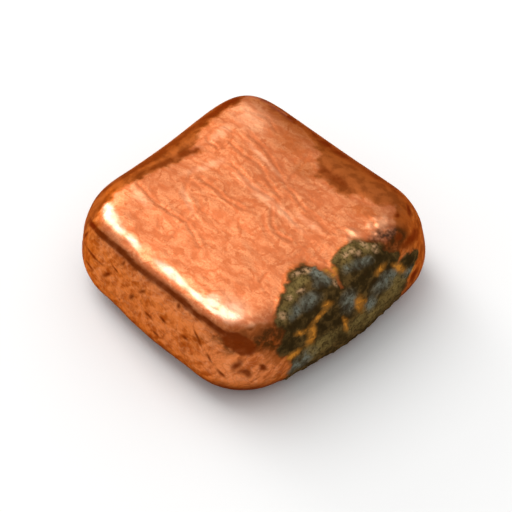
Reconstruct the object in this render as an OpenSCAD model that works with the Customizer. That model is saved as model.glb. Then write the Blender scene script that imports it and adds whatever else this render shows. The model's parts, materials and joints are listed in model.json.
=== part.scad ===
// Hand-poured copper ingot, cast in one piece: a square pillow of metal with round corners,
// leaning sides, a soft shoulder round the top and a flat underside that it rests on.
// The front is -Y, the underside lies on Z = 0 and the origin is under the middle of the ingot.

/* [Overall size] */
// Size along X, across the left and right sides
length = 54; // [44:0.5:80]
// Size along Y, across the front and back sides
width = 54; // [44:0.5:80]
// Height of the top's corners above the underside
thickness = 20.3; // [15:0.2:30]

/* [Plan] */
// Radius of the four corners seen from above
corner_r = 12.9; // [11:0.5:18]
// How far the right back corner is pushed out of square and the left front one pushed in
skew = 0.9; // [0:0.1:2]
// Outward bow of the front side at its middle
front_bow = 0.5; // [-1:0.1:2]
// Outward bow of the right side at its middle
right_bow = 1.1; // [-1:0.1:2]
// Outward bow of the back side at its middle
back_bow = 0.1; // [-1:0.1:2]
// Outward bow of the left side at its middle
left_bow = -0.1; // [-1:0.1:2]

/* [Sides] */
// Lean of the sides from upright, in degrees
draft = 7; // [0:0.5:14]
// Shoulder radius along the front side
front_shoulder_r = 4.4; // [3:0.1:9]
// Shoulder radius along the right side
right_shoulder_r = 5.3; // [3:0.1:9]
// Shoulder radius along the back side
back_shoulder_r = 9.5; // [4:0.1:11]
// Shoulder radius along the left side
left_shoulder_r = 9.5; // [4:0.1:11]
// Shoulder radius at the middle of the near corner, between the front and the right side
near_shoulder_r = 3; // [2:0.1:9]
// Shoulder radius at the middle of the right corner, between the right side and the back
right_corner_shoulder_r = 10.4; // [4:0.1:11]
// Shoulder radius at the middle of the far corner, between the back and the left side
far_shoulder_r = 7; // [4:0.1:11]
// Shoulder radius at the middle of the left corner, between the left side and the front
left_corner_shoulder_r = 10.4; // [4:0.1:11]

/* [Foot] */
// Radius of the edge above the underside, along the sides
side_foot_r = 6.6; // [3:0.1:8]
// Radius of the edge above the underside, under the corners
corner_foot_r = 7.2; // [4:0.1:10]
// Depth by which the rounded foot is flattened where it rests
foot_flat = 0.4; // [0.2:0.1:1]

/* [Top] */
// Rise of the middle of the top above its corners
crown = 0.3; // [-0.5:0.1:1]
// Drop of the top's rim at the middle of the front side
front_sag = 0.2; // [0:0.1:1.5]
// Drop of the top's rim at the middle of the right side
right_sag = 0.1; // [0:0.1:1.5]
// Drop of the top's rim at the middle of the back side
back_sag = 0.3; // [0:0.1:1.5]
// Drop of the top's rim at the middle of the left side
left_sag = 0.3; // [0:0.1:1.5]

/* [Hidden] */

// Colour of clean copper
copper = [0.86, 0.50, 0.34];

// Steps of the mesh round a corner, along a side, up the foot, over the shoulder and across the top
corner_steps = 16;
side_steps = 10;
foot_steps = 7;
shoulder_steps = 11;
top_steps = 8;

// Most of the wall's height that its two radii may take together, and most of the corner's radius
// that a shoulder may take
wall_share = 0.97;
corner_share = 0.85;

// Overrun of the cut that flattens the foot
overrun = 2;

// Corners and sides run anticlockwise from the right back corner, and each side follows its corner:
// right back, back; left back, left; left front, front; right front, right
corner_signs = [[1, 1], [-1, 1], [-1, -1], [1, -1]];
bows = [back_bow, left_bow, front_bow, right_bow];
sags = [back_sag, left_sag, front_sag, right_sag];
side_shoulders = limited([back_shoulder_r, left_shoulder_r, front_shoulder_r, right_shoulder_r]);
corner_shoulders = limited([right_corner_shoulder_r, far_shoulder_r, left_corner_shoulder_r, near_shoulder_r]);

half = [length / 2, width / 2];
quarters = len(corner_signs);
quarter_turn = 360 / quarters;

function direction(angle) = [cos(angle), sin(angle)];
function ease(t) = t * t * (3 - 2 * t);
function swell(t) = pow(sin(180 * t), 2);
function mix(a, b, t) = a + (b - a) * t;

// Shoulder radii, held small enough for the corners
function limited(radii) = [for (r = radii) min(r, corner_share * corner_r)];

// The shoulder round a corner, from the last side's radius to the corner's own and on to the next side's
function corner_shoulder(i, t) = t < 1 / 2
    ? mix(side_shoulders[(i + quarters - 1) % quarters], corner_shoulders[i], ease(2 * t))
    : mix(corner_shoulders[i], side_shoulders[i], ease(2 * t - 1));

// Centre of a corner's arc in plan
function arc_centre(i) = [for (k = [0, 1]) corner_signs[i % quarters][k] * (half[k] - corner_r)];

// A station on the belly line: its place, its outward direction, the shoulder and foot radii there,
// cut down together where the wall is too low for both, and the height of the top's rim
function station(place, outward, shoulder_r, foot_r, rim) =
    let (fit = min(1, wall_share * (rim + foot_flat) / (shoulder_r + foot_r)))
    [place, outward, fit * shoulder_r, fit * foot_r, rim];

function corner_stations(i) = [for (k = [0:corner_steps])
    let (t = k / corner_steps, outward = direction(quarter_turn * (i + t)))
    station(arc_centre(i) + corner_r * outward, outward, corner_shoulder(i, t), corner_foot_r, thickness)];

function side_stations(i) =
    let (outward = direction(quarter_turn * (i + 1)))
    [for (k = [1:side_steps - 1])
        let (t = k / side_steps,
             reach = corner_r + bows[i] * swell(t),
             foot_r = mix(corner_foot_r, side_foot_r, swell(t)))
        station(mix(arc_centre(i), arc_centre(i + 1), t) + reach * outward, outward,
                side_shoulders[i], foot_r, thickness - sags[i] * swell(t))];

stations = [for (i = [0:quarters - 1]) each concat(corner_stations(i), side_stations(i))];

// The wall's section at a station, from the underside up to the rim, as pairs of inset and height.
// The foot's arc runs up to the leaning side and the shoulder's arc runs from there to level.
function section(s) =
    let (shoulder_r = s[2],
         foot_r = s[3],
         rim = s[4],
         foot_top = foot_r * (1 + sin(draft)) - foot_flat,
         shoulder_base = rim - shoulder_r * (1 - sin(draft)),
         lean = foot_r * (1 - cos(draft)) + (shoulder_base - foot_top) * tan(draft),
         shoulder_centre = lean + shoulder_r * cos(draft))
    concat(
        [for (k = [0:foot_steps])
            let (a = mix(-90, draft, k / foot_steps))
            [foot_r * (1 - cos(a)), foot_r * (1 + sin(a)) - foot_flat]],
        [for (k = [0:shoulder_steps])
            let (a = mix(draft, 90, k / shoulder_steps))
            [shoulder_centre - shoulder_r * cos(a), rim - shoulder_r * (1 - sin(a))]]);

// The skewed plan: opposite corners move the same way, so the sides stay straight
function skewed(p) =
    let (shift = skew * p.x * p.y / (half.x * half.y))
    [p.x + shift, p.y + shift, p.z];

// One column of points up the wall at a station and on across the top towards its middle
function column(s) =
    let (wall = [for (w = section(s)) [each s[0] - w[0] * s[1], w[1]]],
         rim = wall[len(wall) - 1])
    [for (p = concat(wall, [for (k = [1:top_steps - 1])
        let (q = 1 - k / top_steps)
        [q * rim.x, q * rim.y, mix(thickness + crown, rim.z, ease(q))]])) skewed(p)];

columns = [for (s = stations) column(s)];
rows = len(columns[0]);
column_count = len(columns);

// Middle of the plan's box, which the origin is put under
function middle(axis) =
    let (values = [for (c = columns, p = c) p[axis]])
    (min(values) + max(values)) / 2;
plan_middle = [middle(0), middle(1), 0];

function corner_index(c, r) = (c % column_count) * rows + r;

// The ingot before its foot is flattened: columns of points joined into one closed skin
module poured_pillow() {
    points = concat([for (c = columns, p = c) p], [[0, 0, -foot_flat], [0, 0, thickness + crown]]);
    under = column_count * rows;
    over = under + 1;
    skin = [for (c = [0:column_count - 1], r = [0:rows - 2]) each
        let (a = corner_index(c, r), b = corner_index(c + 1, r),
             d = corner_index(c + 1, r + 1), e = corner_index(c, r + 1))
        [[a, e, d], [a, d, b]]];
    caps = [for (c = [0:column_count - 1]) each
        [[under, corner_index(c, 0), corner_index(c + 1, 0)],
         [over, corner_index(c + 1, rows - 1), corner_index(c, rows - 1)]]];
    polyhedron(points = points, faces = concat(skin, caps), convexity = 2);
}

// What the level floor takes off the rounded foot
module floor_cut() {
    size = [length + 2 * overrun + 2 * max(bows), width + 2 * overrun + 2 * max(bows), overrun + foot_flat];
    translate([-size.x / 2, -size.y / 2, -size.z])
        cube(size);
}

module ingot() {
    color(copper)
        translate(-plan_middle)
            difference() {
                poured_pillow();
                floor_cut();
            }
}

ingot();
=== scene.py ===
"""Copper ingot: the dressed model of one hand-poured casting, laid out as a Blender add-on.

The casting's skin is a fine even grid laid over the solid from the frame and worked over with the marks of
pouring, handling and weather, and with painted highlights, dark reflections and shade. Lengths are in
metres. The front is -Y and the crusted side is +X.
"""
import json
import math
from collections import namedtuple

import bpy
import numpy as np
from bpy.props import FloatProperty, FloatVectorProperty, PointerProperty
from mathutils import Matrix, Vector, noise
from mathutils.bvhtree import BVHTree

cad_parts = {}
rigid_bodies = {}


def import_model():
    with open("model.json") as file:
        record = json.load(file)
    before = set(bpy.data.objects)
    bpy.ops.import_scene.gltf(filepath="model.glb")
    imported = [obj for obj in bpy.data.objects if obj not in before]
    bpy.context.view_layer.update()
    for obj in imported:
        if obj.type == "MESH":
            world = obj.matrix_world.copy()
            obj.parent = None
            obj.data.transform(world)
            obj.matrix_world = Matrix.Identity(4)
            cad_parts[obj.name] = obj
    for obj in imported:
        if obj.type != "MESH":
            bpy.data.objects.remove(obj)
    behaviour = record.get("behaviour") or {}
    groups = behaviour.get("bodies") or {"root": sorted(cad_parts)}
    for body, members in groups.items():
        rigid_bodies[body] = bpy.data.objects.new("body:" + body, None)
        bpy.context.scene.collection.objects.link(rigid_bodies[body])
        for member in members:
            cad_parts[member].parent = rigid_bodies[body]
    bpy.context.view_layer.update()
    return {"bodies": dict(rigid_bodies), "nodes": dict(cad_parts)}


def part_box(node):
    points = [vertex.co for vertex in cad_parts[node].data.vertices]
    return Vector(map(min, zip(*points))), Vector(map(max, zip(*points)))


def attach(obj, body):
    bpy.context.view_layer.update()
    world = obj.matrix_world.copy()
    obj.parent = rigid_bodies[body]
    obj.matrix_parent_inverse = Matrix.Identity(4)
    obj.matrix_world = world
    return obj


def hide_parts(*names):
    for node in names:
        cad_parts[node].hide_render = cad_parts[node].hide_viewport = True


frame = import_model()

bl_info = {
    "name": "Copper Ingot",
    "version": (1, 0, 0),
    "blender": (4, 5, 0),
    "location": "View3D > Sidebar > Ingot",
    "description": "Dresses a hand-poured copper ingot with wrinkles, pits and oxide, and sets its stage",
    "category": "Object",
}

# The solid that the skin is laid over, and the body and finish that it goes with
NODE = "ingot"
BODY = next(iter(frame["bodies"]))
LOW, HIGH = (np.array(corner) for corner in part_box(NODE))
HALF_SIDE = (HIGH[0] - LOW[0]) / 2
HEIGHT = HIGH[2] - LOW[2]

# Places are shares of the half side. On a wall they are the distance along it and the distance out and
# down over the shoulder, and on the top they are X and Y. A patch is a list of its corners and a line a list
# of its places. A spot has its place, its two half sizes and the turn of its long axis in degrees.

# Right wall: two lobes of crust that creep over the shoulder, and the scale on the wall below them
CRUST_PATCH_SHARES = (
    ((-0.60, 0.93), (-0.53, 0.83), (-0.43, 0.755), (-0.34, 0.715), (-0.28, 0.670), (-0.21, 0.640),
     (-0.15, 0.650), (-0.110, 0.70), (-0.085, 0.78), (-0.045, 0.84), (-0.04, 1.10), (-0.55, 1.10)),
    ((-0.045, 0.85), (-0.01, 0.80), (0.050, 0.760), (0.13, 0.735), (0.23, 0.740), (0.30, 0.79), (0.35, 0.86),
     (0.39, 0.94), (0.36, 1.10), (-0.04, 1.10)),
    ((-0.62, 1.22), (-0.56, 1.04), (0.38, 0.98), (0.50, 1.08), (0.47, 1.19), (0.55, 1.15), (0.66, 1.17),
     (0.69, 1.29), (0.58, 1.38), (0.50, 1.52), (0.44, 1.75), (-0.64, 1.75), (-0.54, 1.45), (-0.56, 1.36)),
)
# Where the crust opens and shows warm metal
CRUST_GAP_SHARES = (
    (-0.050, 0.84, 0.028, 0.070, 3), (0.285, 1.10, 0.050, 0.034, 0), (-0.19, 1.08, 0.040, 0.030, 40),
    (-0.350, 1.25, 0.030, 0.085, 12), (0.080, 1.29, 0.036, 0.075, -20), (-0.065, 1.38, 0.020, 0.065, -10),
    (-0.520, 1.33, 0.070, 0.030, 0), (0.47, 1.22, 0.026, 0.080, -35), (-0.43, 1.16, 0.050, 0.020, 30),
    (-0.27, 1.13, 0.018, 0.070, 50), (0.62, 1.36, 0.060, 0.024, -30), (-0.62, 1.42, 0.060, 0.030, -20),
)
# Tan crumbs, blue-grey bloom, olive green and soot black on the crust
TAN_SPOT_SHARES = (
    (-0.17, 0.72, 0.032, 0.026, 0), (-0.41, 0.825, 0.024, 0.024, 0), (-0.525, 0.92, 0.026, 0.032, 0),
    (-0.08, 0.945, 0.024, 0.028, 0), (0.235, 0.73, 0.030, 0.022, 0), (0.275, 0.83, 0.022, 0.045, 0),
    (0.33, 0.905, 0.022, 0.036, 0), (0.19, 0.86, 0.028, 0.018, 0), (0.12, 0.79, 0.024, 0.020, 0),
    (0.17, 0.80, 0.020, 0.030, 30), (-0.30, 0.84, 0.024, 0.020, 0), (-0.24, 0.70, 0.026, 0.018, 0),
)
BLOOM_SPOT_SHARES = (
    (-0.30, 0.95, 0.075, 0.055, 0), (-0.13, 0.79, 0.045, 0.065, 0), (-0.12, 0.87, 0.070, 0.045, 0),
    (-0.43, 0.95, 0.055, 0.045, 0), (0.10, 0.91, 0.070, 0.033, 10), (0.20, 0.955, 0.070, 0.028, 0),
    (-0.02, 1.18, 0.065, 0.095, 0), (0.33, 1.25, 0.120, 0.075, 0), (0.18, 1.36, 0.050, 0.060, 0),
    (-0.45, 1.44, 0.100, 0.055, 0), (0.55, 1.33, 0.055, 0.038, 0),
)
OLIVE_SPOT_SHARES = (
    (-0.36, 0.80, 0.100, 0.055, -30), (-0.25, 0.76, 0.060, 0.045, 0), (-0.50, 0.91, 0.070, 0.055, -40),
    (0.07, 0.83, 0.065, 0.070, -20), (0.16, 0.79, 0.090, 0.050, 0), (0.27, 0.86, 0.050, 0.060, -30),
    (-0.30, 1.42, 0.160, 0.070, 0), (0.15, 1.45, 0.200, 0.080, 0), (0.42, 1.36, 0.100, 0.090, 0),
)
SOOT_SPOT_SHARES = (
    (0.10, 1.08, 0.100, 0.060, 0), (0.40, 1.12, 0.090, 0.050, 0), (0.33, 0.985, 0.100, 0.032, 10),
    (0.25, 1.05, 0.100, 0.040, 0), (-0.20, 1.24, 0.100, 0.095, 0), (-0.10, 1.30, 0.060, 0.050, 0),
    (-0.60, 1.14, 0.090, 0.110, 0), (-0.40, 1.06, 0.100, 0.036, 0), (0.58, 1.22, 0.065, 0.065, 20),
    (-0.14, 1.03, 0.060, 0.036, 0), (-0.50, 1.22, 0.050, 0.075, 0), (0.20, 1.17, 0.060, 0.045, 0),
)

# Right wall beyond the crust: brown film by the back corner and by the front one, blots, and mottled stains
# by the front corner and on the shoulder towards the back one
RIGHT_FILM_PATCH_SHARES = (
    ((0.40, 1.00), (0.49, 0.94), (0.55, 0.87), (0.60, 0.81), (0.72, 0.75), (1.10, 0.70), (1.10, 1.75),
     (0.44, 1.75), (0.52, 1.50), (0.60, 1.38), (0.70, 1.30), (0.66, 1.16), (0.50, 1.14)),
    ((-0.86, 0.80), (-0.70, 0.85), (-0.58, 0.93), (-0.56, 1.04), (-0.60, 1.36), (-0.68, 1.30), (-0.74, 1.12),
     (-0.82, 1.04)),
)
RIGHT_BLOT_SHARES = (
    (0.53, 0.960, 0.028, 0.036, 0), (0.64, 1.060, 0.120, 0.045, 0), (0.80, 0.86, 0.030, 0.045, 20),
    (-0.84, 1.24, 0.022, 0.060, -20), (-0.73, 1.27, 0.016, 0.050, -20), (0.62, 1.44, 0.060, 0.030, -30),
    (0.66, 0.80, 0.030, 0.022, 0),
)
RIGHT_STAIN_PATCH_SHARES = (
    ((-0.93, 0.72), (-0.88, 0.80), (-0.82, 0.85), (-0.76, 0.94), (-0.66, 0.92), (-0.56, 0.94), (-0.52, 1.02),
     (-0.54, 1.26), (-0.62, 1.23), (-0.70, 1.12), (-0.78, 1.03), (-0.88, 0.98)),
    ((0.28, 0.83), (0.40, 0.80), (0.52, 0.83), (0.60, 0.90), (0.62, 0.98), (0.56, 1.06), (0.46, 1.06),
     (0.36, 0.98)),
)

# Front wall: a painted dark reflection under the shoulder, the blot at the near corner, spots and streaks
# Its darkness is a painted reflection, laid in a shallow groove of oxide
FRONT_DARK_REFLECTION_SHARES = (
    (-0.80, 0.980), (-0.60, 0.966), (-0.45, 0.966), (-0.30, 0.972), (-0.15, 0.990), (0.00, 0.978),
    (0.15, 0.968), (0.30, 0.972), (0.45, 0.984), (0.60, 0.972), (0.70, 0.975),
)
FRONT_BLOT_PATCH_SHARES = (
    ((0.66, 1.02), (0.685, 0.93), (0.74, 0.895), (0.83, 0.90), (0.85, 0.96), (0.835, 1.05), (0.785, 1.10),
     (0.70, 1.08)),
)
FRONT_BLOT_SHARES = (
    (0.775, 1.21, 0.016, 0.080, 12), (-0.58, 1.225, 0.085, 0.013, 8), (-0.41, 1.295, 0.013, 0.065, 40),
    (-0.15, 1.305, 0.014, 0.045, 30), (-0.05, 1.17, 0.012, 0.045, 35), (0.03, 1.355, 0.036, 0.014, 15),
    (0.17, 1.28, 0.026, 0.016, 20), (0.39, 1.285, 0.030, 0.014, -10), (0.285, 1.03, 0.014, 0.026, 0),
    (-0.62, 1.36, 0.050, 0.013, 0), (-0.26, 1.05, 0.012, 0.035, 20), (0.60, 1.30, 0.012, 0.040, -30),
    (0.12, 1.47, 0.030, 0.013, 0), (-0.70, 1.10, 0.012, 0.060, 30), (0.50, 1.18, 0.012, 0.060, -35),
    (-0.33, 1.17, 0.040, 0.012, 20), (0.69, 1.38, 0.030, 0.014, 30),
)
# Where handling keeps the wall clean at the near corner
FRONT_WORN_SHARES = (
    (0.80, 1.32, 0.160, 0.130, 0), (0.55, 1.10, 0.120, 0.050, 0), (0.30, 1.14, 0.200, 0.050, 0),
)
# Front rim, where handling has rubbed the metal brightest; its pale colour is also a painted highlight
FRONT_RUBBED_AND_HIGHLIGHT_SHARES = (
    (-0.59, 0.775, 0.120, 0.055, 10), (-0.45, 0.815, 0.070, 0.036, 12), (-0.29, 0.830, 0.070, 0.032, 10),
    (0.11, 0.840, 0.150, 0.034, 0), (0.36, 0.850, 0.100, 0.024, 0), (0.47, 0.800, 0.055, 0.055, 0),
    (0.62, 0.780, 0.085, 0.080, -25), (0.54, 0.865, 0.120, 0.020, 0),
)
# Dents that break the shine along the front rim
FRONT_DENT_SHARES = (
    (-0.16, 0.84, 0.050, 0.080, 0), (-0.32, 0.88, 0.060, 0.030, 0), (0.53, 0.83, 0.030, 0.025, 0),
    (-0.42, 0.76, 0.040, 0.030, 0), (0.30, 0.80, 0.060, 0.020, 0),
)

# Top: brown film on the left and back shoulders, also a painted dark reflection, and where it is darker
TOP_FILM_AND_REFLECTION_PATCH_SHARES = (
    ((-1.10, -1.05), (-0.76, -1.02), (-0.71, -0.86), (-0.695, -0.70), (-0.70, -0.56), (-0.675, -0.40),
     (-0.655, -0.25), (-0.61, -0.08), (-0.565, 0.11), (-0.64, 0.07), (-0.69, 0.16), (-0.735, 0.22),
     (-0.76, 0.40), (-0.75, 0.62), (-0.78, 0.74), (-0.82, 0.80), (-0.88, 1.10), (-1.10, 1.10)),
    ((-1.10, 0.76), (-0.86, 0.76), (-0.70, 0.79), (-0.45, 0.80), (-0.30, 0.77), (-0.14, 0.73),
     (0.00, 0.68), (0.03, 0.60), (0.125, 0.58), (0.13, 0.495), (0.42, 0.49), (0.45, 0.56), (0.60, 0.58),
     (0.66, 0.66), (0.68, 0.76), (0.76, 0.80), (0.84, 0.66), (0.88, 0.58), (1.10, 0.56),
     (1.10, 1.10), (-1.10, 1.10)),
)
TOP_SHADE_SHARES = (
    (-0.63, 0.02, 0.045, 0.100, -12), (-0.68, -0.16, 0.030, 0.090, -8), (0.27, 0.54, 0.130, 0.035, 0),
    (0.30, 0.840, 0.300, 0.050, 2), (-0.70, -0.36, 0.030, 0.060, 0), (-0.82, 0.30, 0.050, 0.500, 0),
    (-0.83, -0.30, 0.050, 0.400, -8), (-0.74, -0.62, 0.030, 0.090, 15),
)
# Top: where the film goes darkest, along its two far edges and in streaks inside it
TOP_EDGE_SHARES = (
    (-0.81, 0.58, 0.050, 0.250, 0), (-0.50, 0.800, 0.280, 0.050, 0), (-0.08, 0.820, 0.220, 0.045, 0),
    (-0.63, 0.03, 0.034, 0.100, -12), (-0.68, -0.16, 0.024, 0.100, -8), (0.22, 0.57, 0.110, 0.030, 0),
)
# Top: the haze beside the film
TOP_HAZE_SHARES = (
    (-0.22, 0.60, 0.180, 0.100, -10), (0.05, 0.50, 0.110, 0.090, 0), (0.60, 0.50, 0.120, 0.060, 20),
    (-0.72, -0.05, 0.060, 0.100, 0), (-0.35, 0.73, 0.300, 0.060, -5), (0.80, 0.62, 0.060, 0.070, 0),
)
# Top: where handling has rubbed the metal brightest, partly painted highlights on the shoulders
TOP_RUBBED_AND_HIGHLIGHT_SHARES = (
    (-0.58, 0.55, 0.150, 0.090, -12), (-0.61, 0.32, 0.035, 0.090, 0), (-0.22, 0.345, 0.200, 0.014, -10),
    (-0.30, -0.30, 0.100, 0.020, -25), (-0.55, -0.50, 0.100, 0.030, -12), (0.60, -0.72, 0.120, 0.070, 0),
    (0.10, 0.09, 0.280, 0.030, -3), (0.42, 0.15, 0.100, 0.020, 0), (-0.45, 0.02, 0.030, 0.130, -20),
    (0.76, 0.50, 0.040, 0.075, 20), (0.83, 0.38, 0.036, 0.055, 30), (0.71, 0.29, 0.050, 0.036, 0),
)
# Crumbs of metal on the right shoulder, most of them by the back corner, with painted glints in their colour
TOP_CRUMB_SHARES = (
    (0.745, 0.545, 0.032, 0.034, 0), (0.765, 0.475, 0.034, 0.030, 0), (0.80, 0.415, 0.032, 0.028, 0),
    (0.835, 0.365, 0.030, 0.026, 0), (0.70, 0.74, 0.026, 0.034, 0), (0.68, 0.31, 0.036, 0.022, 20),
    (0.72, 0.42, 0.024, 0.024, 0), (0.84, 0.50, 0.024, 0.030, 0), (0.72, 0.24, 0.030, 0.022, 0),
    (0.785, 0.60, 0.024, 0.028, 0), (0.70, 0.50, 0.022, 0.024, 0), (0.79, -0.74, 0.030, 0.024, 0),
    (0.83, -0.66, 0.020, 0.022, 0),
)

# Top: creases of the skin that froze first, each a line of places
TOP_CREASE_SHARES = (
    ((-0.47, 0.45), (-0.30, 0.415), (-0.10, 0.355), (0.06, 0.29), (0.20, 0.245), (0.34, 0.215), (0.60, 0.21)),
    ((-0.40, -0.09), (-0.27, -0.085), (-0.15, -0.10), (0.02, -0.09)),
    ((-0.57, 0.385), (-0.655, 0.385), (-0.685, 0.31), (-0.66, 0.23), (-0.60, 0.19), (-0.52, 0.20)),
    ((-0.50, -0.02), (-0.44, -0.16), (-0.36, -0.27), (-0.20, -0.33)),
    ((-0.05, 0.62), (0.00, 0.50), (0.02, 0.40), (0.05, 0.31)),
    ((0.16, 0.05), (0.25, -0.04), (0.32, -0.07), (0.45, -0.06)),
    ((0.35, 0.185), (0.46, 0.19), (0.58, 0.185)),
    ((-0.50, 0.30), (-0.34, 0.27), (-0.20, 0.29), (-0.05, 0.23), (0.12, 0.17)),
    ((-0.66, -0.42), (-0.42, -0.47), (-0.15, -0.44), (0.05, -0.52)),
    ((0.55, 0.04), (0.57, -0.12), (0.54, -0.28), (0.56, -0.44)),
    ((-0.18, -0.22), (-0.16, -0.40), (-0.13, -0.58)),
    ((-0.66, 0.60), (-0.50, 0.645), (-0.36, 0.60)),
    ((0.64, 0.08), (0.67, -0.08), (0.62, -0.22)),
    ((-0.35, 0.16), (-0.10, 0.12), (0.10, 0.13), (0.34, 0.08)),
)

# Noises: the size of their blotches, their octaves and their seed
DENT_NOISE = (0.008, 2, 3.0)
WRINKLE_NOISE = (0.0016, 3, 5.0)
WAVE_NOISE = (0.0026, 3, 7.0)
PIT_NOISE = (0.0013, 2, 13.0)
SCALE_NOISE = (0.0019, 2, 17.0)
GRIT_NOISE = (0.0008, 2, 19.0)
CRUMB_NOISE = (0.0014, 3, 29.0)
BAND_NOISE = (0.0035, 2, 47.0)
STREAK_NOISE = (0.0012, 3, 71.0)
FOOT_SHADE_NOISE = (0.0035, 3, 83.0)
# Noises that push places about in two directions: their reach, the size of their blotches, their octaves and
# their seeds. The first two make the marks' edges ragged, and their reach is a share of the half side.
EDGE_WANDERS = (
    (0.022, 0.0030, 3, (11.0, 23.0)),
    (0.004, 0.0009, 2, (31.0, 43.0)),
)
WRINKLE_WANDER = (0.0016, 0.007, 2, (51.0, 57.0))
CREASE_WANDER = (0.0004, 0.003, 2, (61.0, 67.0))

# The painted dark reflection under the front shoulder: its half width, where it fades in at its left end,
# and the half widths at which its soft edge ends and begins
BAND_WIDTH_SHARE = 0.024
BAND_START_SHARES = (-0.88, -0.66)
BAND_EDGE = (1.7, 0.7)
# Strength of the haze beside the film and of the top's rubbed places and painted highlights, where 1 is whole
HAZE_LEVEL = 0.38
RUBBED_AND_HIGHLIGHT_LEVEL = 0.5
# Depth of a blot in pit depths, and of the waves between the pits
BLOT_DEPTH = 0.6
WAVE_DEPTH = 0.5
# Noise levels between which a pit opens
PIT_LEVELS = (0.35, 0.75)
# The lip beside a crease: its height in crease depths, and its distance and spread in crease widths
LIP_HEIGHT = 0.7
LIP_AWAY = 1.8
LIP_SPREAD = 1.2
# Half width of the dull colour along a crease
CREASE_STAIN_SHARE = 0.014
# Height shares between which the painted shade at the foot fades in, and the share over which relief fades in
FOOT_SHADE_SHARES = (0.29, 0.14)
REST_SHARE = 0.1
# Z of the skin's normal where a part of it begins and where it is whole: the top's relief, the walls' relief,
# the walls' metal, and all above the underside
TOP_TILTS = (0.5, 0.9)
WALL_TILTS = (0.7, 0.3)
SIDE_TILTS = (0.86, 0.52)
UNDERSIDE_TILTS = (-0.85, -0.55)
# Slant and stretch of the walls' streaks, and the squeeze that draws the top's wrinkles out along X
STREAK_SLANT = 0.7
STREAK_STRETCH = 0.3
FLOW_STRETCH = (0.35, 1.0, 1.0)

# How a colour setting is held and shown
COLOUR = {"size": 3, "min": 0, "max": 1, "subtype": "COLOR"}


class IngotSkinSettings(bpy.types.PropertyGroup):
    """Sizes of the skin's grid and of the marks on it."""
    grid_step: FloatProperty(
        name="Grid Step", description="Spacing of the skin's grid",
        default=0.00031, subtype="DISTANCE")
    edge_round: FloatProperty(
        name="Edge Round", description="Radius that spreads the grid evenly round the edges",
        default=0.0085, subtype="DISTANCE")
    dent_depth: FloatProperty(
        name="Dent Depth", description="Depth of the broad dents of handling",
        default=0.00009, subtype="DISTANCE")
    rim_dent_depth: FloatProperty(
        name="Rim Dent Depth", description="Depth of the dents along the front rim",
        default=0.00010, subtype="DISTANCE")
    wrinkle_depth: FloatProperty(
        name="Wrinkle Depth", description="Depth of the flow wrinkles on the top",
        default=0.000030, subtype="DISTANCE")
    crease_depth: FloatProperty(
        name="Crease Depth", description="Depth of the creases on the top",
        default=0.000034, subtype="DISTANCE")
    crease_width: FloatProperty(
        name="Crease Width", description="Half width of a crease",
        default=0.00038, subtype="DISTANCE")
    crumb_height: FloatProperty(
        name="Crumb Height", description="Height of the crumbs of metal on the right shoulder",
        default=0.00018, subtype="DISTANCE")
    pit_depth: FloatProperty(
        name="Pit Depth", description="Depth of the casting pits on the walls",
        default=0.00012, subtype="DISTANCE")
    crust_height: FloatProperty(
        name="Crust Height", description="How far the oxide crust stands off the metal",
        default=0.00036, subtype="DISTANCE")


class IngotFinishSettings(bpy.types.PropertyGroup):
    """Colours of the metal, its films and its crust."""
    bright_copper: FloatVectorProperty(
        name="Bright Copper", description="Clean metal on the top", default=(0.745, 0.264, 0.104), **COLOUR)
    warm_copper: FloatVectorProperty(
        name="Warm Copper", description="Duller metal in the flow lines",
        default=(0.545, 0.136, 0.039), **COLOUR)
    # This pale metal also paints the highlights along the front rim, on the top and on the crumbs
    rubbed_and_highlight_copper: FloatVectorProperty(
        name="Rubbed Copper", description="Metal that handling keeps bright",
        default=(0.97, 0.49, 0.265), **COLOUR)
    side_copper: FloatVectorProperty(
        name="Side Copper", description="Metal of the walls, which nobody rubs",
        default=(0.73, 0.222, 0.066), **COLOUR)
    side_brown: FloatVectorProperty(
        name="Side Brown", description="Darker streaks of the walls", default=(0.43, 0.096, 0.020), **COLOUR)
    # On the far shoulders this colour also paints their dark reflection
    brown_film_and_dark_reflection: FloatVectorProperty(
        name="Brown Film", description="Thin brown oxide on the shoulders",
        default=(0.395, 0.100, 0.023), **COLOUR)
    dark_film: FloatVectorProperty(
        name="Dark Film", description="Thicker brown oxide in the film",
        default=(0.200, 0.043, 0.008), **COLOUR)
    # Besides real blots, this paints the dark reflection under the front rim and the shade at the foot
    dark_blot_and_shade: FloatVectorProperty(
        name="Dark Blot", description="Thick red-brown oxide in blots and at the foot",
        default=(0.170, 0.027, 0.004), **COLOUR)
    crust_brown: FloatVectorProperty(
        name="Crust Brown", description="Ground colour of the crust", default=(0.116, 0.066, 0.020), **COLOUR)
    crust_olive: FloatVectorProperty(
        name="Crust Olive", description="Olive green in the crust", default=(0.220, 0.150, 0.048), **COLOUR)
    crust_bloom: FloatVectorProperty(
        name="Crust Bloom", description="Blue-grey bloom on the crust",
        default=(0.165, 0.172, 0.135), **COLOUR)
    crust_tan: FloatVectorProperty(
        name="Crust Tan", description="Tan crumbs on the crust", default=(0.50, 0.29, 0.15), **COLOUR)
    crust_soot: FloatVectorProperty(
        name="Crust Soot", description="Black scale in the crust", default=(0.032, 0.019, 0.006), **COLOUR)
    ochre: FloatVectorProperty(
        name="Ochre", description="Warm metal and ochre where the crust opens",
        default=(0.60, 0.225, 0.028), **COLOUR)


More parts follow.
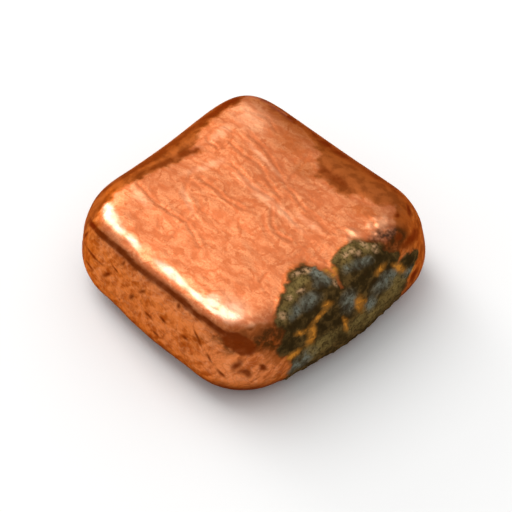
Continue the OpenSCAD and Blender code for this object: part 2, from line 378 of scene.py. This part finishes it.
class IngotStageSettings(bpy.types.PropertyGroup):
    """Floor, light and camera."""
    floor_colour: FloatVectorProperty(
        name="Floor", description="Colour of the floor", default=(0.90, 0.90, 0.895), **COLOUR)
    floor_side: FloatProperty(
        name="Floor Side", description="Side of the floor", default=6.0, subtype="DISTANCE")
    lamp_distance: FloatProperty(
        name="Lamp Distance", description="Distance of the lamps from the ingot",
        default=1.3, subtype="DISTANCE")
    view_azimuth: FloatProperty(
        name="Azimuth", description="Camera's turn about Z from the front",
        default=math.radians(45.96), subtype="ANGLE")
    view_elevation: FloatProperty(
        name="Elevation", description="Camera's angle above the floor",
        default=math.radians(48.13), subtype="ANGLE")
    view_distance: FloatProperty(
        name="Distance", description="Camera's distance from the ingot's middle",
        default=0.56, subtype="DISTANCE")
    focal_length: FloatProperty(
        name="Focal Length", description="Camera's focal length in millimetres", default=207.0)
    aim_right: FloatProperty(
        name="Aim Right", description="Aim to the right of the ingot's middle",
        default=0.0012, subtype="DISTANCE")
    aim_down: FloatProperty(
        name="Aim Down", description="Aim below the ingot's middle",
        default=0.0035, subtype="DISTANCE")


def ease(t):
    """Smooth step of t, held between 0 and 1."""
    t = np.clip(t, 0, 1)
    return t * t * (3 - 2 * t)


def ramp(value, start, end):
    """Smooth step of a value, from 0 at the start to 1 at the end, whichever of them is higher."""
    return ease((value - start) / (end - start))


def mottle(points, size, octaves, seed):
    """Fractal noise at the points, about -1 to 1, with blotches of that size."""
    shift = Vector((seed, -seed, 2 * seed))
    values = (noise.fractal(Vector(p) + shift, 1.0, 2.0, octaves) for p in points / size)
    return np.fromiter(values, float, len(points))


def wander(points, reach, size, octaves, seeds):
    """Columns of fractal noise of that reach at the points, one for each seed."""
    return reach * np.column_stack([mottle(points, size, octaves, seed) for seed in seeds])


def lay_grid(step, edge_round):
    """Cells of a box's six faces as quads, with a start inside the ingot and an outward ray for each corner.

    The box is unrolled round its edges at that radius, so the cells come out even."""
    middle = (LOW + HIGH) / 2
    core = (HIGH - LOW) / 2 - edge_round
    turn = edge_round * math.pi / 4
    counts = [math.ceil(2 * (half + turn) / step) for half in core]
    lattice = np.indices([count + 1 for count in counts]).reshape(3, -1).T
    on_skin = ((lattice == 0) | (lattice == counts)).any(axis=1)
    numbers = np.full(len(lattice), -1)
    numbers[on_skin] = np.arange(on_skin.sum())
    numbers = numbers.reshape([count + 1 for count in counts])
    corners = lattice[on_skin]
    reach = (2 * corners / counts - 1) * (core + turn)
    start = np.clip(reach, -core, core)
    ray = np.sign(reach) * np.tan((np.abs(reach) - np.abs(start)) / edge_round)
    quads = []
    for axis in range(3):
        a, b = (axis + 1) % 3, (axis + 2) % 3
        for end in (0, counts[axis]):
            sheet = np.transpose(numbers, (axis, a, b))[end]
            cells = [sheet[:-1, :-1], sheet[1:, :-1], sheet[1:, 1:], sheet[:-1, 1:]]
            if end == 0:
                cells.reverse()
            quads.append(np.stack(cells, axis=-1).reshape(-1, 4))
    return np.vstack(quads), start + middle, ray / np.linalg.norm(ray, axis=1, keepdims=True)


def drape(start, ray):
    """Points where the rays leave the solid."""
    mesh = frame["nodes"][NODE].data
    tree = BVHTree.FromPolygons([v.co for v in mesh.vertices], [p.vertices for p in mesh.polygons])
    hits = [tree.ray_cast(Vector(a), Vector(b))[0] for a, b in zip(start, ray)]
    if None in hits:
        raise RuntimeError("a ray from inside the ingot missed its skin")
    return np.array([tuple(hit) for hit in hits])


def relax(quads, values, rounds):
    """Values evened out over the grid, half way to the mean of each corner's neighbours in each round."""
    order = np.argsort(quads, axis=None, kind="stable")
    here = quads.ravel()[order]
    there = np.roll(quads, -1, axis=1).ravel()[order]
    first = np.searchsorted(here, np.arange(len(values)))
    count = np.bincount(here)[:, None]
    for _ in range(rounds):
        values = (values + np.add.reduceat(values[there], first) / count) / 2
    return values


def outward(points, quads):
    """Unit normals at the corners."""
    across = np.cross(points[quads[:, 2]] - points[quads[:, 0]], points[quads[:, 3]] - points[quads[:, 1]])
    total = np.zeros_like(points)
    for k in range(4):
        np.add.at(total, quads[:, k], across)
    return total / np.linalg.norm(total, axis=1, keepdims=True)


def spots(places, table, edge):
    """Strength of a table of spots at the places, with that much of each half size as its soft edge."""
    strength = np.zeros(len(places))
    for along, over, half_along, half_over, degrees in table:
        c, s = math.cos(math.radians(degrees)), math.sin(math.radians(degrees))
        x, y = (places - (along, over)).T
        away = np.hypot((c * x + s * y) / half_along, (c * y - s * x) / half_over)
        strength = np.maximum(strength, ramp(away, 1 + edge, 1 - edge))
    return strength


def line_distance(places, line):
    """Distance of the places from a line of places."""
    nearest = np.full(len(places), np.inf)
    for a, b in zip(np.array(line[:-1]), np.array(line[1:])):
        t = np.clip((places - a) @ (b - a) / ((b - a) @ (b - a)), 0, 1)
        nearest = np.minimum(nearest, np.linalg.norm(places - a - t[:, None] * (b - a), axis=1))
    return nearest


def patches(places, table, edge):
    """Strength of a table of patches at the places, with a soft edge of that half width."""
    strength = np.zeros(len(places))
    x, y = places.T
    for corners in table:
        ring = (*corners, corners[0])
        inside = np.zeros(len(places), bool)
        for (x0, y0), (x1, y1) in zip(ring[:-1], ring[1:]):
            if y0 != y1:
                inside ^= ((y0 > y) != (y1 > y)) & (x < x0 + (x1 - x0) * (y - y0) / (y1 - y0))
        depth = line_distance(places, ring) * np.where(inside, 1, -1)
        strength = np.maximum(strength, ramp(depth, -edge, edge))
    return strength


def unroll(points):
    """Places of the points on the right wall, the front wall and the top, pushed about by noise."""
    shares = points / HALF_SIDE
    drop = HEIGHT / HALF_SIDE - shares[:, 2]
    push = sum(wander(points, *noises) for noises in EDGE_WANDERS)
    right = np.column_stack([shares[:, 1], shares[:, 0] + drop]) + push
    front = np.column_stack([shares[:, 0], drop - shares[:, 1]]) + push / 2
    top = shares[:, :2] + push / 2
    return right, front, top


def crust_marks(right):
    """Strength of the crust on the right wall, of its openings and of its colours."""
    return {
        "crust": patches(right, CRUST_PATCH_SHARES, edge=0.040),
        "gap": spots(right, CRUST_GAP_SHARES, edge=0.8),
        "tan": spots(right, TAN_SPOT_SHARES, edge=0.6),
        "bloom": spots(right, BLOOM_SPOT_SHARES, edge=0.7),
        "olive": spots(right, OLIVE_SPOT_SHARES, edge=0.6),
        "soot": spots(right, SOOT_SPOT_SHARES, edge=0.6),
    }


def oxide_marks(points, right, front, top):
    """Strength of the blots and dark band, the stains, and the films, both partly painted reflection."""
    # Painted dark reflection under the front shoulder; the blots' carve also sinks it as a shallow groove
    band = ramp(line_distance(front, FRONT_DARK_REFLECTION_SHARES) / BAND_WIDTH_SHARE, *BAND_EDGE)
    band *= ramp(front[:, 0], *BAND_START_SHARES) * (1.1 + 0.35 * mottle(points, *BAND_NOISE))
    blots_and_dark_reflection = (band.clip(0, 1), spots(right, RIGHT_BLOT_SHARES, edge=0.6),
             spots(front, FRONT_BLOT_SHARES, edge=0.8), patches(front, FRONT_BLOT_PATCH_SHARES, edge=0.016))
    films_and_dark_reflection = (patches(top, TOP_FILM_AND_REFLECTION_PATCH_SHARES, edge=0.055),
             patches(right, RIGHT_FILM_PATCH_SHARES, edge=0.040))
    hazes = (HAZE_LEVEL * spots(top, TOP_HAZE_SHARES, edge=0.8),
             patches(right, CRUST_PATCH_SHARES, edge=0.060))
    return {
        "blot_and_painted_shade": np.max(blots_and_dark_reflection, axis=0),
        "stain": patches(right, RIGHT_STAIN_PATCH_SHARES, edge=0.050),
        "film_and_dark_reflection": np.max(films_and_dark_reflection, axis=0),
        "haze": np.max(hazes, axis=0),
        "shade": spots(top, TOP_SHADE_SHARES, edge=0.6),
        "edge": spots(top, TOP_EDGE_SHARES, edge=0.8),
    }


def worn_and_highlight_marks(front, top):
    """Strength of the rim's shine and rubbed places, both partly painted highlight, and of the creases."""
    # Painted highlight along the front rim, laid as pale rubbed metal
    polish_and_highlight = spots(front, FRONT_RUBBED_AND_HIGHLIGHT_SHARES, edge=0.6)
    rubbed_and_highlight = (RUBBED_AND_HIGHLIGHT_LEVEL * spots(top, TOP_RUBBED_AND_HIGHLIGHT_SHARES, edge=0.8),
              RUBBED_AND_HIGHLIGHT_LEVEL * spots(top, TOP_CRUMB_SHARES, edge=0.9), polish_and_highlight)
    creases = [np.exp(-(line_distance(top, line) / CREASE_STAIN_SHARE) ** 2) for line in TOP_CREASE_SHARES]
    return {"polish_and_highlight": polish_and_highlight, "rubbed_and_highlight": np.max(rubbed_and_highlight, axis=0), "crease": np.max(creases, axis=0)}


def map_marks(points, normals):
    """Strength of each crust, oxide and worn place and of the painted light at the points, by name."""
    right, front, top = unroll(points)
    laid = {**crust_marks(right), **oxide_marks(points, right, front, top), **worn_and_highlight_marks(front, top)}
    above = ramp(normals[:, 2], *UNDERSIDE_TILTS)
    marks = {name: strength * above for name, strength in laid.items()}
    marks["side"] = ramp(normals[:, 2], *SIDE_TILTS)
    # Painted shade at the foot, darker towards the floor and broken up by noise
    foot_shade_height = points[:, 2] / HEIGHT + 0.05 * mottle(points, *FOOT_SHADE_NOISE)
    marks["foot"] = ramp(foot_shade_height, *FOOT_SHADE_SHARES)
    x, y, z = points.T
    slanted = np.column_stack([x - STREAK_SLANT * z, y - STREAK_SLANT * z, STREAK_STRETCH * z])
    worn = 0.3 * spots(front, FRONT_WORN_SHARES, edge=0.8)
    marks["streak"] = 0.5 + 0.5 * mottle(slanted, *STREAK_NOISE) + worn
    return marks


def dents(points, sizes):
    """Height of the broad dents and of those along the front rim."""
    shares = points / HALF_SIDE
    front = np.column_stack([shares[:, 0], HEIGHT / HALF_SIDE - shares[:, 2] - shares[:, 1]])
    broad = sizes.dent_depth * mottle(points, *DENT_NOISE)
    return broad - sizes.rim_dent_depth * spots(front, FRONT_DENT_SHARES, edge=0.9)


def top_relief(points, sizes):
    """Height of the flow wrinkles, the creases and the crumbs on the top."""
    flow = points.copy()
    flow[:, :2] += wander(points, *WRINKLE_WANDER)
    height = sizes.wrinkle_depth * mottle(flow * FLOW_STRETCH, *WRINKLE_NOISE)
    places = points[:, :2] + wander(points, *CREASE_WANDER)
    for line in TOP_CREASE_SHARES:
        away = line_distance(places, np.array(line) * HALF_SIDE) / sizes.crease_width
        lip = LIP_HEIGHT * np.exp(-((away - LIP_AWAY) / LIP_SPREAD) ** 2)
        height += sizes.crease_depth * (lip - np.exp(-away ** 2))
    lumps = ease(0.50 + 1.2 * mottle(points, *CRUMB_NOISE))
    return height + sizes.crumb_height * lumps * spots(places / HALF_SIDE, TOP_CRUMB_SHARES, edge=0.9)


def wall_relief(points, sizes):
    """Height of the walls' waves and of their casting pits."""
    waves = WAVE_DEPTH * mottle(points, *WAVE_NOISE)
    pits = ramp(mottle(points, *PIT_NOISE), *PIT_LEVELS)
    return sizes.pit_depth * (waves - pits)


def carve(points, normals, marks, sizes):
    """Height of the skin above the smooth solid at each point."""
    height = dents(points, sizes)
    height += ramp(normals[:, 2], *TOP_TILTS) * top_relief(points, sizes)
    height += ramp(np.abs(normals[:, 2]), *WALL_TILTS) * wall_relief(points, sizes)
    height -= BLOT_DEPTH * sizes.pit_depth * marks["blot_and_painted_shade"]
    scale = 0.8 + 0.7 * mottle(points, *SCALE_NOISE) + 0.4 * mottle(points, *GRIT_NOISE)
    height += sizes.crust_height * marks["crust"] * scale
    return height * ramp(points[:, 2], 0, REST_SHARE * HEIGHT)


class Graph:
    """Short calls for making and joining a material's nodes."""
    # Places of a Mix node's two colours and of its mixed one, which share their labels with other sockets
    first_colour, second_colour, mixed_colour = 6, 7, 2

    def __init__(self, tree):
        self.tree = tree
        tree.nodes.clear()

    def node(self, kind, settings=None, **inputs):
        """A node with these settings. An input named by its label is set, or joined to a socket."""
        made = self.tree.nodes.new(kind)
        for name, value in (settings or {}).items():
            setattr(made, name, value)
        for name, value in inputs.items():
            self.plug(made.inputs[name.replace("_", " ")], value)
        return made

    def plug(self, socket, value):
        """Joins a socket to another, or sets its value."""
        if isinstance(value, bpy.types.NodeSocket):
            self.tree.links.new(value, socket)
        else:
            socket.default_value = value

    def mark(self, name):
        """Strength of a mark on the skin."""
        return self.node("ShaderNodeAttribute", {"attribute_name": name}).outputs["Fac"]

    def blend(self, factor, first, second):
        """One colour going over to another."""
        made = self.node("ShaderNodeMix", {"data_type": "RGBA"})
        self.plug(made.inputs["Factor"], factor)
        self.plug(made.inputs[self.first_colour], first)
        self.plug(made.inputs[self.second_colour], second)
        return made.outputs[self.mixed_colour]

    def between(self, value, low, high, start=0.0, end=1.0):
        """A value spread from one range to another and held there."""
        made = self.node("ShaderNodeMapRange", {"interpolation_type": "SMOOTHSTEP"}, Value=value)
        for name, number in (("From Min", low), ("From Max", high), ("To Min", start), ("To Max", end)):
            made.inputs[name].default_value = number
        return made.outputs["Result"]

    def math(self, operation, first, second):
        """Sum, product or greater of two values, held between 0 and 1."""
        made = self.node("ShaderNodeMath", {"operation": operation, "use_clamp": True})
        self.plug(made.inputs[0], first)
        self.plug(made.inputs[1], second)
        return made.outputs[0]

    def speckle(self, place, size, detail):
        """Noise with blotches of that size."""
        made = self.node("ShaderNodeTexNoise", Vector=place, Scale=1 / size, Detail=detail)
        return made.outputs["Fac"]

    def ragged(self, name, grain, reach, low, high):
        """Strength of a mark with its edge broken up by a noise."""
        push = self.between(grain, 0.3, 0.7, -reach, reach)
        return self.between(self.math("ADD", self.mark(name), push), low, high)

    def vein(self, grain, half_width):
        """Winding lines along the middle level of a noise."""
        below = self.between(grain, 0.5 - half_width, 0.5)
        return self.math("MULTIPLY", below, self.between(grain, 0.5 + half_width, 0.5))

    def stirred(self, place, size, reach):
        """A place pushed about by noise of that size."""
        eddy = self.node("ShaderNodeTexNoise", Vector=place, Scale=1 / size, Detail=2.0)
        made = self.node("ShaderNodeVectorMath", {"operation": "MULTIPLY_ADD"})
        for socket, value in zip(made.inputs, (eddy.outputs["Color"], (reach, reach, reach), place)):
            self.plug(socket, value)
        return made.outputs["Vector"]


def opaque(colour):
    """A colour setting with full alpha, as a socket takes it."""
    return (*colour, 1.0)


# The place on the ingot, the same drawn out along the flow, and the noises that several finishes read
Grains = namedtuple("Grains", "place flow rub fine coarse lumps")


def copper_grains(g):
    """The place on the ingot and the noises that its finishes share."""
    place = g.node("ShaderNodeTexCoord").outputs["Object"]
    stirred = g.stirred(place, 0.008, 0.006)
    flow = g.node("ShaderNodeMapping", Vector=stirred, Scale=(0.5, 1.0, 1.0)).outputs["Vector"]
    return Grains(
        place=place,
        flow=flow,
        rub=g.speckle(flow, 0.0013, 4.0),
        fine=g.speckle(place, 0.00055, 3.0),
        coarse=g.speckle(place, 0.0022, 4.0),
        lumps=g.speckle(g.stirred(place, 0.0030, 0.0016), 0.0016, 3.0))


def top_metal(g, finish, grains):
    """Colour of the top's metal: flow lines, creases, fine grain, rubbed places and painted highlights."""
    warm = opaque(finish.warm_copper)
    metal = g.blend(g.between(grains.rub, 0.30, 0.68), warm, opaque(finish.bright_copper))
    arc = g.vein(g.speckle(g.stirred(grains.place, 0.010, 0.010), 0.0042, 1.0), 0.065)
    arc = g.math("MULTIPLY", arc, g.between(grains.lumps, 0.40, 0.56, 0.0, 0.95))
    line = g.math("ADD", arc, g.math("MULTIPLY", g.mark("crease"), 0.50))
    line = g.math("ADD", line, g.between(g.speckle(grains.place, 0.00030, 2.0), 0.58, 0.40, 0.0, 0.38))
    line = g.math("ADD", line, g.between(grains.fine, 0.50, 0.35, 0.0, 0.35))
    metal = g.blend(line, metal, warm)
    # Rubbed places and painted highlights go over to pale metal
    rubbed_and_highlight = g.math("MULTIPLY", g.mark("rubbed_and_highlight"), g.between(grains.rub, 0.3, 0.6, 0.35, 0.95))
    return g.blend(rubbed_and_highlight, metal, opaque(finish.rubbed_and_highlight_copper))


def wall_metal(g, finish, grains, streak):
    """Colour of the walls' metal, with brown streaks, dark traces and bright strokes."""
    wall = g.blend(g.between(streak, 0.28, 0.66), opaque(finish.side_brown), opaque(finish.side_copper))
    trace = g.vein(g.speckle(g.stirred(grains.place, 0.0050, 0.0040), 0.0024, 2.0), 0.06)
    wall = g.blend(g.math("MULTIPLY", trace, 0.22), wall, opaque(finish.dark_film))
    stroke = g.vein(g.speckle(g.stirred(grains.flow, 0.0040, 0.0030), 0.0019, 2.0), 0.055)
    return g.blend(g.math("MULTIPLY", stroke, 0.14), wall, opaque(finish.rubbed_and_highlight_copper))


def film_and_reflection_cover(g, grains, streak):
    """Film strength, partly painted reflection, thinner over the walls' bright streaks, and of its haze."""
    bright_streak = g.math("MULTIPLY", g.mark("side"), g.between(streak, 0.42, 0.62))
    film_and_dark_reflection = g.ragged("film_and_dark_reflection", grains.coarse, 0.24, 0.20, 0.85)
    film_and_dark_reflection = g.math("MULTIPLY", film_and_dark_reflection, g.between(bright_streak, 0.0, 1.0, 1.0, 0.6))
    return g.math("MAXIMUM", film_and_dark_reflection, g.mark("haze"))


def blot_and_shade_cover(g, grains):
    """Strength of the blots, the painted dark reflection under the rim and the painted shade at the foot."""
    blot_and_painted_shade = g.math("MULTIPLY", g.mark("blot_and_painted_shade"), g.between(grains.lumps, 0.70, 0.40, 0.88, 1.0))
    return g.math("MAXIMUM", blot_and_painted_shade, g.math("MULTIPLY", g.mark("foot"), 0.85))


def oxidised(g, finish, grains, metal, film_and_dark_reflection, blot_and_painted_shade):
    """Colour of the metal under its film, stains and blots, with the painted reflection and shade in them."""
    shade = g.between(grains.coarse, 0.42, 0.62, 0.0, 0.60)
    shade = g.math("ADD", shade, g.math("MULTIPLY", g.mark("shade"), 0.8))
    brown = g.blend(shade, opaque(finish.brown_film_and_dark_reflection), opaque(finish.dark_film))
    # On the far shoulders the film also paints their dark reflection
    metal = g.blend(film_and_dark_reflection, metal, brown)
    edge = g.math("MULTIPLY", g.mark("edge"), g.between(grains.coarse, 0.35, 0.60, 0.50, 0.95))
    metal = g.blend(edge, metal, opaque(finish.dark_blot_and_shade))
    mixed = g.math("ADD", g.math("MULTIPLY", grains.lumps, 0.5), g.math("MULTIPLY", grains.fine, 0.5))
    stain = g.math("MULTIPLY", g.mark("stain"), g.between(mixed, 0.66, 0.42, 0.50, 1.0))
    metal = g.blend(stain, metal, opaque(finish.dark_film))
    sooty = g.math("MULTIPLY", stain, g.between(grains.lumps, 0.66, 0.42, 0.12, 0.72))
    metal = g.blend(sooty, metal, opaque(finish.crust_soot))
    # The blots carry the painted dark reflection under the front rim and the painted shade at the foot
    return g.blend(blot_and_painted_shade, metal, opaque(finish.dark_blot_and_shade))


def crust_scale(g, finish, grains):
    """Colour of the crust: brown and black, with olive, bloom, soot, tan crumbs and ochre openings."""
    soot = opaque(finish.crust_soot)
    scale = g.blend(g.between(grains.lumps, 0.35, 0.65), soot, opaque(finish.crust_brown))
    olive = g.math("MULTIPLY", g.mark("olive"), g.between(grains.coarse, 0.30, 0.64, 0.2, 1.0))
    scale = g.blend(olive, scale, opaque(finish.crust_olive))
    bloom = g.math("MULTIPLY", g.mark("bloom"), g.between(grains.lumps, 0.30, 0.64, 0.2, 1.0))
    scale = g.blend(bloom, scale, opaque(finish.crust_bloom))
    black = g.math("MULTIPLY", g.mark("soot"), g.between(grains.lumps, 0.66, 0.42, 0.4, 0.95))
    scale = g.blend(black, scale, soot)
    scale = g.blend(g.math("MULTIPLY", g.vein(grains.lumps, 0.05), 0.35), scale, soot)
    scale = g.blend(g.between(grains.fine, 0.50, 0.32, 0.0, 0.6), scale, soot)
    crumbs = g.math("MULTIPLY", g.mark("tan"), g.between(grains.fine, 0.35, 0.62, 0.1, 0.9))
    scale = g.blend(crumbs, scale, opaque(finish.crust_tan))
    opening = g.math("MULTIPLY", g.mark("gap"), g.between(g.vein(grains.coarse, 0.10), 0.0, 0.6, 0.50, 1.0))
    return g.blend(opening, scale, opaque(finish.ochre))


def weathered_copper(finish):
    """Rubbed copper with brown films, blots, a green and black crust, painted highlights and shade, by the
    skin's marks.
    """
    material = bpy.data.materials.new("weathered_copper")
    material.use_nodes = True
    g = Graph(material.node_tree)
    grains = copper_grains(g)
    streak = g.math("ADD", g.math("MULTIPLY", g.mark("streak"), 0.6), g.math("MULTIPLY", grains.fine, 0.4))
    film_and_dark_reflection = film_and_reflection_cover(g, grains, streak)
    blot_and_painted_shade = blot_and_shade_cover(g, grains)
    crust = g.ragged("crust", grains.lumps, 0.22, 0.16, 0.84)
    metal = g.blend(g.mark("side"), top_metal(g, finish, grains), wall_metal(g, finish, grains, streak))
    metal = oxidised(g, finish, grains, metal, film_and_dark_reflection, blot_and_painted_shade)
    colour = g.blend(crust, metal, crust_scale(g, finish, grains))

    rough = g.math("ADD", g.between(grains.rub, 0.3, 0.7, 0.48, 0.40), g.math("MULTIPLY", crust, 0.25))
    bare = g.math("MULTIPLY", g.between(crust, 0.2, 0.9, 1.0, 0.1), g.between(film_and_dark_reflection, 0.0, 1.0, 1.0, 0.70))
    bare = g.math("MULTIPLY", bare, g.between(blot_and_painted_shade, 0.0, 1.0, 1.0, 0.8))
    gloss = g.between(g.mark("polish_and_highlight"), 0.0, 1.0, 0.15, 1.0)
    for cover, full in ((crust, 0.5), (film_and_dark_reflection, 0.5), (blot_and_painted_shade, 0.5), (g.mark("side"), 0.4)):
        gloss = g.math("MULTIPLY", gloss, g.between(cover, 0.0, full, 1.0, 0.0))
    ripple = g.node("ShaderNodeBump", Strength=0.25, Distance=0.00012, Height=grains.rub)
    grain = g.node("ShaderNodeBump", Strength=g.between(crust, 0.0, 1.0, 0.22, 0.7), Distance=0.00015,
                   Height=grains.fine, Normal=ripple.outputs["Normal"])
    shader = g.node("ShaderNodeBsdfPrincipled", Base_Color=colour, Metallic=bare, Roughness=rough,
                    Normal=grain.outputs["Normal"], Specular_IOR_Level=0.0,
                    Specular_Tint=(0.72, 0.38, 0.18, 1.0), Coat_Weight=gloss, Coat_Roughness=0.17,
                    Coat_IOR=1.9, Coat_Normal=grain.outputs["Normal"])
    g.node("ShaderNodeOutputMaterial", Surface=shader.outputs["BSDF"])
    return material


def white_floor(stage):
    """Matt white floor."""
    material = bpy.data.materials.new("white_floor")
    material.use_nodes = True
    g = Graph(material.node_tree)
    shader = g.node("ShaderNodeBsdfDiffuse", Color=opaque(stage.floor_colour))
    g.node("ShaderNodeOutputMaterial", Surface=shader.outputs["BSDF"])
    return material


def new_mesh_object(name, points, faces):
    """A smooth-shaded mesh object in the scene."""
    mesh = bpy.data.meshes.new(name)
    mesh.from_pydata(points.tolist(), [], faces.tolist())
    mesh.shade_smooth()
    made = bpy.data.objects.new(name, mesh)
    bpy.context.scene.collection.objects.link(made)
    return made


class CastIngot(bpy.types.Operator):
    """Lay the ingot's skin over its solid, work the marks into it and give it its finish"""
    bl_idname = "ingot.cast"
    bl_label = "Cast Ingot"
    smoothing_rounds = 110

    def execute(self, context):
        sizes = context.scene.ingot_skin
        quads, start, ray = lay_grid(sizes.grid_step, sizes.edge_round)
        points = drape(start, ray)
        rounded = relax(quads, points, self.smoothing_rounds)
        points = rounded + relax(quads, points - rounded, self.smoothing_rounds)
        normals = outward(points, quads)
        marks = map_marks(points, normals)
        points = points + carve(points, normals, marks, sizes)[:, None] * normals
        points[:, 2] = np.maximum(points[:, 2], LOW[2])
        skin = new_mesh_object("ingot_skin", points, quads)
        for name, strength in marks.items():
            layer = skin.data.attributes.new(name, "FLOAT", "POINT")
            layer.data.foreach_set("value", strength.astype(np.float32))
        skin.data.materials.append(weathered_copper(context.scene.ingot_finish))
        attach(skin, BODY)
        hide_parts(NODE)
        return {"FINISHED"}


def aim(thing, place, target, up=Vector((0, 0, 1))):
    """Puts a lamp or camera at a place, looking at the target with that way up."""
    back = (place - target).normalized()
    right = up.cross(back).normalized()
    turn = Matrix((right, back.cross(right), back)).transposed()
    thing.matrix_world = Matrix.Translation(place) @ turn.to_4x4()


class SetStage(bpy.types.Operator):
    """Lay the floor, hang the lamps, light the room and place the camera"""
    bl_idname = "ingot.stage"
    bl_label = "Set Stage"
    # Each lamp's way from the ingot, its two sides and its level, where 1 is white
    lamps = {
        "softbox": (Vector((-0.545, 0.026, 0.838)), (0.77, 1.21), 3.0),
        "strip": (Vector((-0.949, 0.130, 0.272)), (0.42, 0.62), 5.0),
    }
    # The way to the room's pale end, and grey levels of the room at the cosines of these angles from it
    pale_way = Vector((-0.27, 0.28, 0.92))
    room_levels = ((0.0, 0.54), (0.36, 0.58), (0.78, 0.80), (1.0, 0.88))
    # Nearest thing that the camera sees
    near_clip = 0.01

    def execute(self, context):
        stage = context.scene.ingot_stage
        middle = Vector(tuple((LOW + HIGH) / 2))
        self.lay_floor(stage)
        self.hang_lamps(stage, middle)
        self.light_room(context.scene)
        self.place_camera(context.scene, stage, middle)
        context.scene.view_settings.view_transform = "Standard"
        return {"FINISHED"}

    def lay_floor(self, stage):
        half = stage.floor_side / 2
        corners = np.array([(-half, -half, 0), (half, -half, 0), (half, half, 0), (-half, half, 0)])
        floor = new_mesh_object("floor", corners, np.array([[0, 1, 2, 3]]))
        floor.data.materials.append(white_floor(stage))

    def hang_lamps(self, stage, middle):
        for name, (way, sides, level) in self.lamps.items():
            lamp = bpy.data.lights.new(name, "AREA")
            lamp.shape = "RECTANGLE"
            lamp.size, lamp.size_y = sides
            lamp.energy = level * math.pi * lamp.size * lamp.size_y
            hung = bpy.data.objects.new(name, lamp)
            bpy.context.scene.collection.objects.link(hung)
            aim(hung, middle + way.normalized() * stage.lamp_distance, middle)

    def light_room(self, scene):
        scene.world = bpy.data.worlds.new("room")
        scene.world.use_nodes = True
        g = Graph(scene.world.node_tree)
        way = g.node("ShaderNodeTexCoord").outputs["Generated"]
        cosine = g.node("ShaderNodeVectorMath", {"operation": "DOT_PRODUCT"})
        g.plug(cosine.inputs[0], way)
        g.plug(cosine.inputs[1], self.pale_way.normalized())
        ramp = g.node("ShaderNodeValToRGB", Fac=cosine.outputs["Value"])
        stops = ramp.color_ramp.elements
        while len(stops) < len(self.room_levels):
            stops.new(1.0)
        for stop, (position, level) in zip(stops, self.room_levels):
            stop.position = position
            stop.color = (level, level, level, 1)
        glow = g.node("ShaderNodeBackground", Color=ramp.outputs["Color"])
        g.node("ShaderNodeOutputWorld", Surface=glow.outputs["Background"])

    def place_camera(self, scene, stage, middle):
        flat = math.cos(stage.view_elevation)
        back = Vector((math.sin(stage.view_azimuth) * flat, -math.cos(stage.view_azimuth) * flat,
                       math.sin(stage.view_elevation)))
        right = Vector((math.cos(stage.view_azimuth), math.sin(stage.view_azimuth), 0))
        target = middle + right * stage.aim_right - back.cross(right) * stage.aim_down
        lens = bpy.data.cameras.new("camera")
        lens.lens = stage.focal_length
        lens.clip_start = self.near_clip
        camera = bpy.data.objects.new("camera", lens)
        scene.collection.objects.link(camera)
        aim(camera, target + back * stage.view_distance, target)
        scene.camera = camera


class IngotPanel(bpy.types.Panel):
    """Lists the ingot's settings and builds it"""
    bl_idname = "VIEW3D_PT_copper_ingot"
    bl_label = "Copper Ingot"
    bl_space_type = "VIEW_3D"
    bl_region_type = "UI"
    bl_category = "Ingot"

    def draw(self, context):
        column = self.layout.column()
        for group in (context.scene.ingot_skin, context.scene.ingot_finish, context.scene.ingot_stage):
            for name in group.__annotations__:
                column.prop(group, name)
        column.operator(CastIngot.bl_idname)
        column.operator(SetStage.bl_idname)


SETTINGS = {
    "ingot_skin": IngotSkinSettings,
    "ingot_finish": IngotFinishSettings,
    "ingot_stage": IngotStageSettings,
}
CLASSES = (*SETTINGS.values(), CastIngot, SetStage, IngotPanel)


def register():
    for each in CLASSES:
        bpy.utils.register_class(each)
    for name, group in SETTINGS.items():
        setattr(bpy.types.Scene, name, PointerProperty(type=group))


def unregister():
    for name in SETTINGS:
        delattr(bpy.types.Scene, name)
    for each in reversed(CLASSES):
        bpy.utils.unregister_class(each)


def main():
    register()
    bpy.ops.ingot.cast()
    bpy.ops.ingot.stage()


if __name__ == "__main__":
    main()
